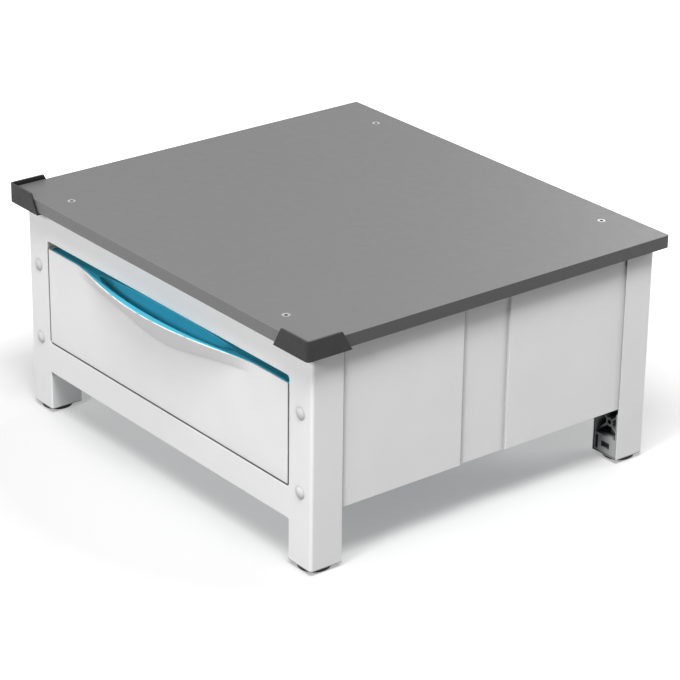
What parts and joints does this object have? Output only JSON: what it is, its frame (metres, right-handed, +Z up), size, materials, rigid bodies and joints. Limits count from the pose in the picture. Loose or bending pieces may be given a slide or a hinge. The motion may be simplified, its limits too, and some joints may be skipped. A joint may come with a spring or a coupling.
{
  "type": "raised laundry base with drawer",
  "caption": "Sheet-steel laundry stand with a thick flat top, raised corner guards, levelling feet and a front drawer on roller runners with a flared grip lip",
  "frame": {"origin": "on the floor, below the centre of the whole object's box", "axes": "+Z is up, the drawer front faces -Y, +X is to the right seen from the front"},
  "size_m": [0.605, 0.5554, 0.3],
  "materials": {
    "board": "grey laminate, satin",
    "guard": "dark grey, moulded",
    "white_steel": "white powder coat, satin",
    "cap": "white",
    "insert": "mid grey, moulded",
    "pad": "black",
    "steel": "zinc plated",
    "teal": "teal, satin",
    "nylon": "natural nylon"
  },
  "bodies": {
    "cabinet": {"top_board": "board", "board_screws": "steel", "corner_guard_left": "guard", "corner_guard_right": "guard", "guard_screws": "steel", "front_frame": "white_steel", "rear_frame": "white_steel", "side_sheet_front_left": "white_steel", "side_sheet_front_right": "white_steel", "side_sheet_rear_left": "white_steel", "side_sheet_rear_right": "white_steel", "frame_screws": "steel", "screw_caps": "cap", "runner_fixed_left": "white_steel", "runner_fixed_right": "white_steel", "runner_screws": "steel", "runner_axles": "steel", "insert_front_left": "insert", "insert_front_right": "insert", "insert_rear_left": "insert", "insert_rear_right": "insert"},
    "drawer": {"drawer_front": "white_steel", "drawer_moulding": "teal", "tray_floor": "teal", "tray_side_left": "teal", "tray_side_right": "teal", "tray_front_wall": "teal", "tray_rear_wall": "teal", "drawer_screws": "steel", "runner_moving_left": "white_steel", "runner_moving_right": "white_steel", "runner_moving_screws": "steel", "drawer_axles": "steel"},
    "roller_front_left": {"roller_front_left": "nylon"},
    "roller_front_right": {"roller_front_right": "nylon"},
    "roller_rear_left": {"roller_rear_left": "nylon"},
    "roller_rear_right": {"roller_rear_right": "nylon"},
    "foot_pad_front_left": {"foot_pad_front_left": "pad"},
    "foot_stud_front_left": {"foot_stud_front_left": "steel"},
    "foot_pad_front_right": {"foot_pad_front_right": "pad"},
    "foot_stud_front_right": {"foot_stud_front_right": "steel"},
    "foot_pad_rear_left": {"foot_pad_rear_left": "pad"},
    "foot_stud_rear_left": {"foot_stud_rear_left": "steel"},
    "foot_pad_rear_right": {"foot_pad_rear_right": "pad"},
    "foot_stud_rear_right": {"foot_stud_rear_right": "steel"}
  },
  "joints": [
    {"name": "drawer_slide", "type": "slide", "parent": "cabinet", "child": "drawer", "axis": [0, -1, 0], "range_m": [0, 0.34]},
    {"name": "roller_front_left_turn", "type": "hinge", "parent": "cabinet", "child": "roller_front_left", "pos_m": [-0.24, -0.1938, 0.1529], "axis": [1, 0, 0], "range_deg": [0, 2170]},
    {"name": "roller_rear_left_turn", "type": "hinge", "parent": "drawer", "child": "roller_rear_left", "pos_m": [-0.2403, 0.2002, 0.15], "axis": [1, 0, 0], "range_deg": [0, 2170]},
    {"name": "roller_front_right_turn", "type": "hinge", "parent": "cabinet", "child": "roller_front_right", "pos_m": [0.24, -0.1938, 0.1529], "axis": [1, 0, 0], "range_deg": [0, 2170]},
    {"name": "roller_rear_right_turn", "type": "hinge", "parent": "drawer", "child": "roller_rear_right", "pos_m": [0.2403, 0.2002, 0.15], "axis": [1, 0, 0], "range_deg": [0, 2170]},
    {"name": "foot_front_left_slide", "type": "slide", "parent": "cabinet", "child": "foot_pad_front_left", "axis": [0, 0, -1], "range_m": [0, 0.01]},
    {"name": "foot_front_left_turn", "type": "hinge", "parent": "foot_pad_front_left", "child": "foot_stud_front_left", "pos_m": [-0.2683, -0.2308, 0], "axis": [0, 0, -1], "range_deg": [0, 2430]},
    {"name": "foot_front_right_slide", "type": "slide", "parent": "cabinet", "child": "foot_pad_front_right", "axis": [0, 0, -1], "range_m": [0, 0.01]},
    {"name": "foot_front_right_turn", "type": "hinge", "parent": "foot_pad_front_right", "child": "foot_stud_front_right", "pos_m": [0.2683, -0.2308, 0], "axis": [0, 0, -1], "range_deg": [0, 2430]},
    {"name": "foot_rear_left_slide", "type": "slide", "parent": "cabinet", "child": "foot_pad_rear_left", "axis": [0, 0, -1], "range_m": [0, 0.01]},
    {"name": "foot_rear_left_turn", "type": "hinge", "parent": "foot_pad_rear_left", "child": "foot_stud_rear_left", "pos_m": [-0.2683, 0.2441, 0], "axis": [0, 0, -1], "range_deg": [0, 2430]},
    {"name": "foot_rear_right_slide", "type": "slide", "parent": "cabinet", "child": "foot_pad_rear_right", "axis": [0, 0, -1], "range_m": [0, 0.01]},
    {"name": "foot_rear_right_turn", "type": "hinge", "parent": "foot_pad_rear_right", "child": "foot_stud_rear_right", "pos_m": [0.2683, 0.2441, 0], "axis": [0, 0, -1], "range_deg": [0, 2430]}
  ],
  "couplings": [
    {"joint": "roller_front_left_turn", "follows": "drawer_slide", "rad_per_m": 111.11},
    {"joint": "roller_front_right_turn", "follows": "drawer_slide", "rad_per_m": 111.11},
    {"joint": "roller_rear_left_turn", "follows": "drawer_slide", "rad_per_m": 111.11},
    {"joint": "roller_rear_right_turn", "follows": "drawer_slide", "rad_per_m": 111.11},
    {"joint": "foot_front_left_turn", "follows": "foot_front_left_slide", "rad_per_m": 4188.8},
    {"joint": "foot_front_right_turn", "follows": "foot_front_right_slide", "rad_per_m": 4188.8},
    {"joint": "foot_rear_left_turn", "follows": "foot_rear_left_slide", "rad_per_m": 4188.8},
    {"joint": "foot_rear_right_turn", "follows": "foot_rear_right_slide", "rad_per_m": 4188.8}
  ]
}
